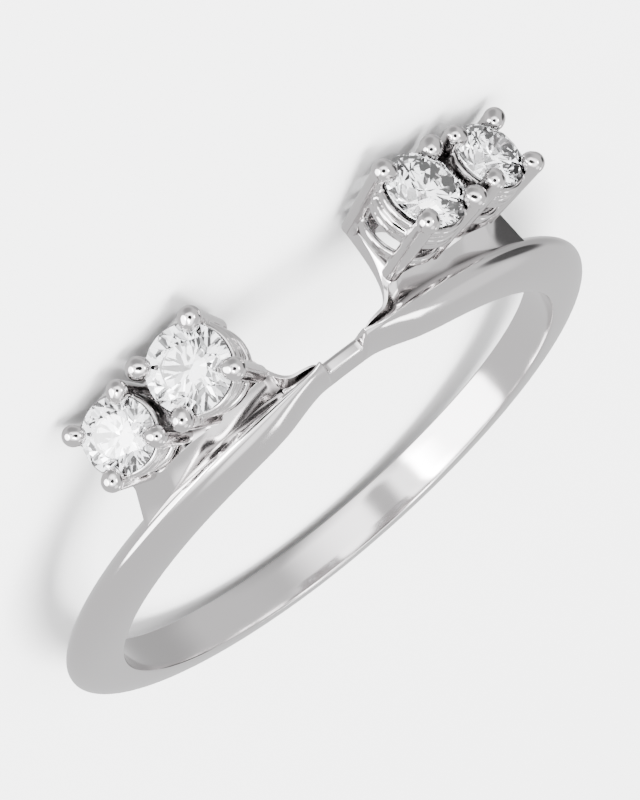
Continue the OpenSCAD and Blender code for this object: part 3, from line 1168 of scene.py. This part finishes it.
def towards(azimuth, elevation):
    """A direction, with the azimuth counted from +X towards +Y."""
    across = cosd(elevation)
    return Vector((cosd(azimuth) * across, sind(azimuth) * across, sind(elevation)))


def add_patch(level, azimuth, elevation, inner, outer, factor):
    """Multiplies the sky around a direction: fully to an inner angle, not past an outer."""
    middle = towards(azimuth, elevation)
    near = add_node(sky, "ShaderNodeVectorMath", {0: way, 1: middle}, operation="DOT_PRODUCT")
    share = add_node(
        sky,
        "ShaderNodeMapRange",
        {
            "Value": near.outputs["Value"],
            "From Min": cosd(inner),
            "From Max": cosd(outer),
            "To Min": factor,
            "To Max": 1.0,
        },
        interpolation_type="SMOOTHSTEP",
    )
    factors = {0: level, 1: share.outputs["Result"]}
    return add_node(sky, "ShaderNodeMath", factors, operation="MULTIPLY").outputs[0]


# %% Sky
sky_level = 1.2
level = sky_level
for patch in sky_patches.values():
    level = add_patch(level, *patch)
backdrop = sky.nodes["Background"]
backdrop.inputs["Color"].default_value = colour("#fbfbfc")
sky.links.new(level, backdrop.inputs["Strength"])
print("sky:", len(sky.nodes), "nodes")

# %% [markdown]
# ## The soft boxes
# Three lit rectangles draw the small white highlights. Round lamps would do as well, but a
# rectangle looks like the soft boxes of a studio. A fourth lamp hangs over the table and
# whitens the paper, as in a cut-out photo. It is hidden from mirror rays and from the rays
# inside the stones, which no real lamp is.


# %% Lamps
def add_soft_box(name, azimuth, elevation, size_mm, brightness, distance_mm=300):
    """A lit rectangle that faces the ring, as bright as it looks in a mirror."""
    width, height = (x * mm for x in size_mm)
    light = bpy.data.lights.new(name, "AREA")
    light.shape, light.size, light.size_y = "RECTANGLE", width, height
    light.energy = brightness * math.pi * width * height
    lamp = bpy.data.objects.new(name, light)
    bpy.context.scene.collection.objects.link(lamp)
    lamp.location = towards(azimuth, elevation) * distance_mm * mm
    lamp.rotation_euler = (-lamp.location).to_track_quat("-Z", "Y").to_euler()
    return lamp


# Azimuth and elevation in degrees, size in millimetres, and brightness
add_soft_box("back_box", 118, 52, (60, 50), 9)
add_soft_box("right_box", 312, 32, (70, 110), 20)
add_soft_box("left_box", 240, 40, (60, 100), 20)
overhead = add_soft_box("overhead", 0, 88, (260, 260), 20)
overhead.visible_glossy = overhead.visible_transmission = False
print("lamps:", len(bpy.data.lights))

# %% [markdown]
# ## The camera
# Its place, its lens and its roll were found by fitting the ring's circles, beads and
# outlines to the photo. Setting them by eye is quicker, but the parts would line up less
# well. The lens is long, so there is little perspective, as in the photo.

# %% Camera
# Angles in degrees, places in millimetres
camera_azimuth, camera_elevation, camera_roll = 16.309, 20.546, -136.727
camera_distance, camera_lens, sensor_width = 300, 434.74, 36
aim_point = Vector((-1.064, -0.917, -1.530))
back = Vector(
    (
        sind(camera_azimuth) * cosd(camera_elevation),
        -cosd(camera_azimuth) * cosd(camera_elevation),
        sind(camera_elevation),
    )
)
camera_place = back * camera_distance
forward = (aim_point - camera_place).normalized()
sideways = forward.cross(Vector((0, 0, 1))).normalized()
above = sideways.cross(forward)
right = sideways * cosd(camera_roll) - above * sind(camera_roll)
top = sideways * sind(camera_roll) + above * cosd(camera_roll)
camera_data = bpy.data.cameras.new("camera")
camera_data.lens, camera_data.sensor_width = camera_lens, sensor_width
camera_data.clip_start, camera_data.clip_end = 0.01, 10
camera = bpy.data.objects.new("camera", camera_data)
bpy.context.scene.collection.objects.link(camera)
turn = Matrix((right, top, -forward)).transposed().to_4x4()
camera.matrix_world = Matrix.Translation(camera_place * mm) @ turn
bpy.context.scene.camera = camera
print("camera at", [round(x, 1) for x in camera_place], "mm")
